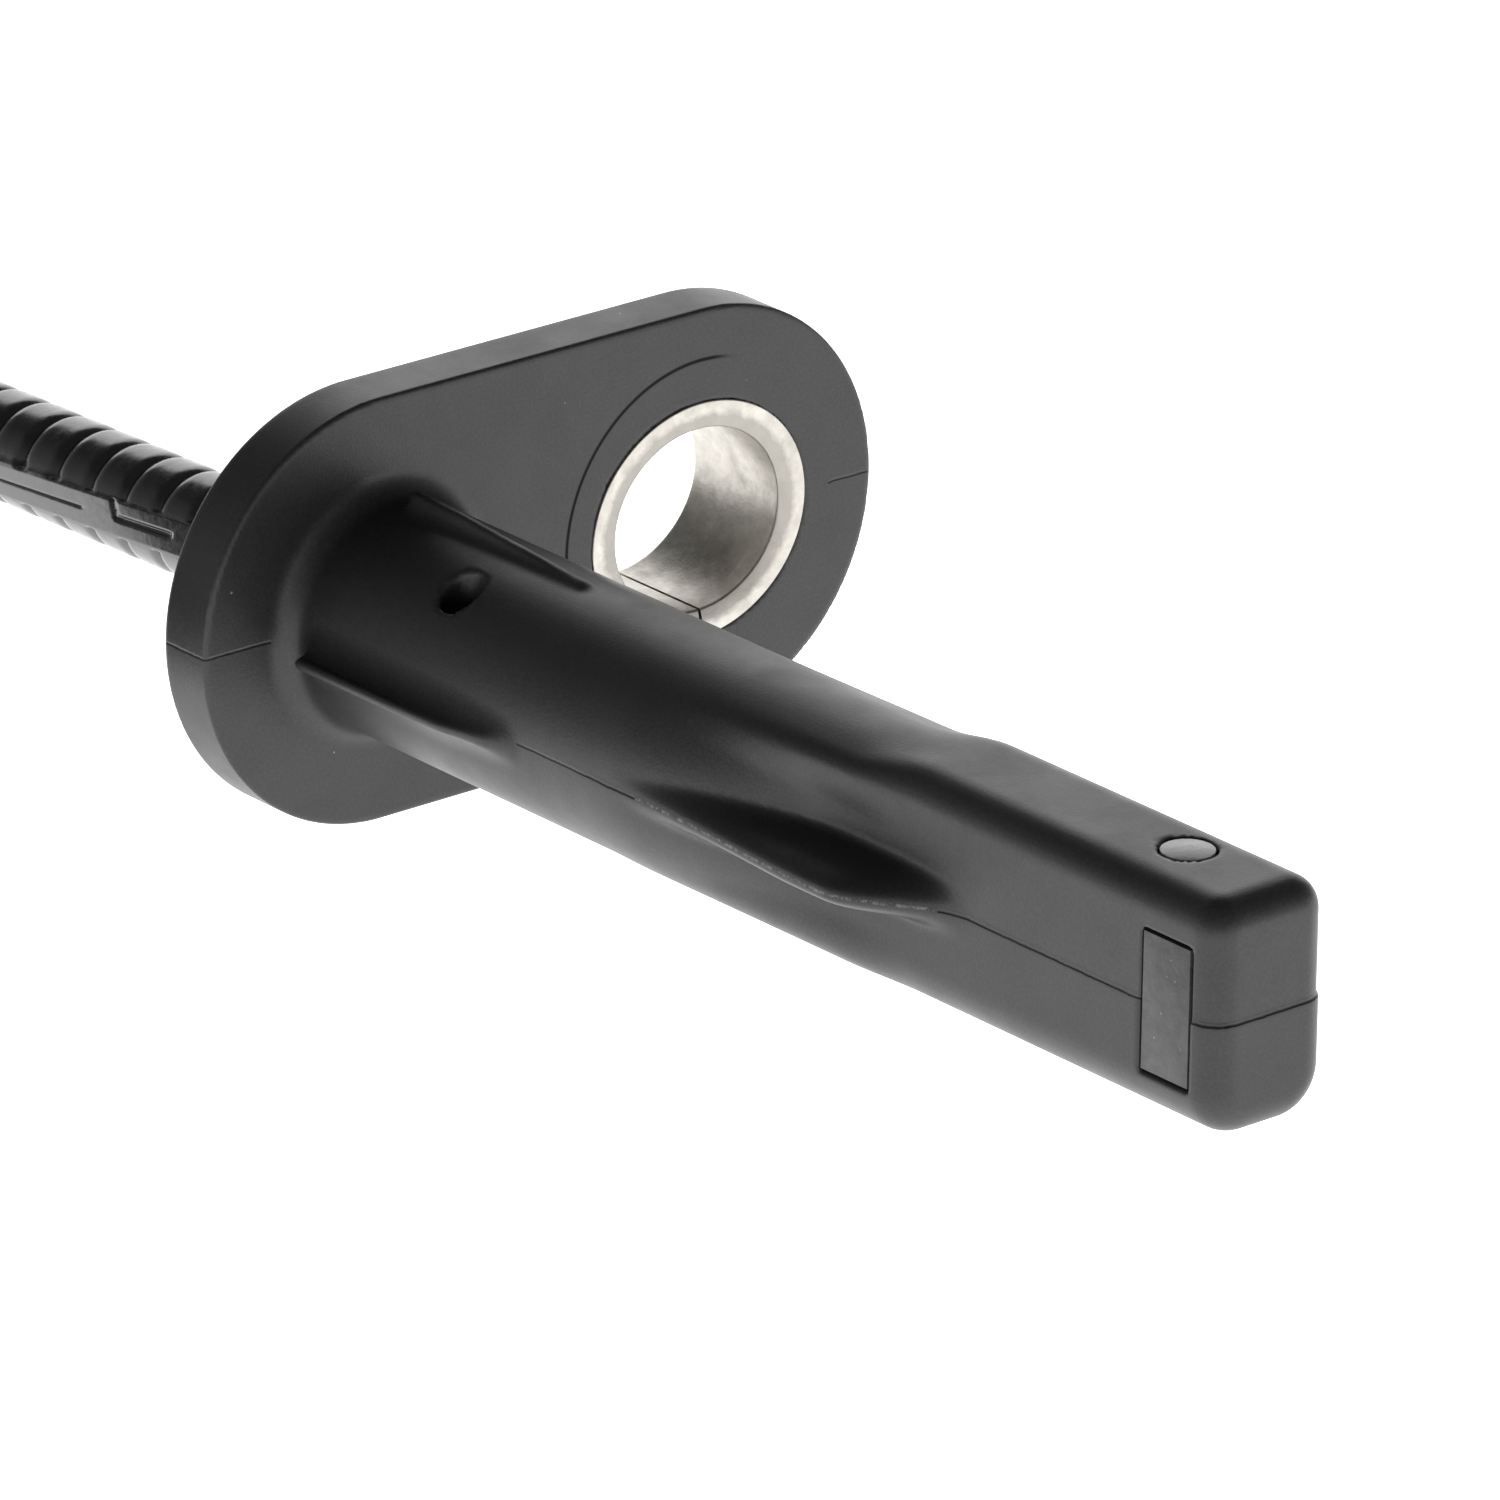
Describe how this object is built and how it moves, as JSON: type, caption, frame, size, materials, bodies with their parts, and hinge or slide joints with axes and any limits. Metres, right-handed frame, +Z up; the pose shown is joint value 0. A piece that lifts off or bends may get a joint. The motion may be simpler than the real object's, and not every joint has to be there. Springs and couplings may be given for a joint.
{
  "type": "abs wheel speed sensor",
  "caption": "Wheel speed sensor with a long black probe that ends in a flat blade, an obround bolt-on flange with a steel bush, and a ribbed lead coiled behind it that ends in a connector.",
  "frame": {"origin": "on the surface that the flange's straight edge stands on, under the middle of the sensor, from the blade's tip to the end of the strain relief", "axes": "+Y along the probe axis, away from the tip towards the cable; +X from the probe axis to the bolt; +Z up"},
  "size_m": [0.0572, 0.1653, 0.0187],
  "materials": {
    "body": "moulded, finely textured dark grey-black",
    "bush": "plated steel strip, rolled",
    "carrier": "moulded, slightly lighter than the body",
    "chip": "moulded package",
    "capacitor": "dipped",
    "tinned": "tinned",
    "core": "insulation",
    "relief": "glossy black, ribbed",
    "jacket": "satin black cable jacket",
    "tie": "nylon",
    "plug": "moulded",
    "lock": "moulded grey",
    "pin": "tinned",
    "seal": "silicone",
    "boot": "soft black"
  },
  "bodies": {
    "root": {"sensor_body": "body", "mounting_bush": "bush", "chip_carrier": "carrier", "sensor_chip": "chip", "capacitor": "capacitor", "chip_lead_lower": "tinned", "chip_lead_upper": "tinned", "crimp_lower": "tinned", "crimp_upper": "tinned", "wire_core_lower": "core", "wire_core_upper": "core", "strain_relief": "relief", "cable_lead": "jacket", "cable_coil": "jacket", "coil_tie": "tie", "cable_tail": "jacket", "connector_housing": "plug", "secondary_lock": "lock", "contact_pin_left": "pin", "contact_pin_right": "pin", "rear_seal": "seal", "cable_boot": "boot"}
  },
  "joints": []
}
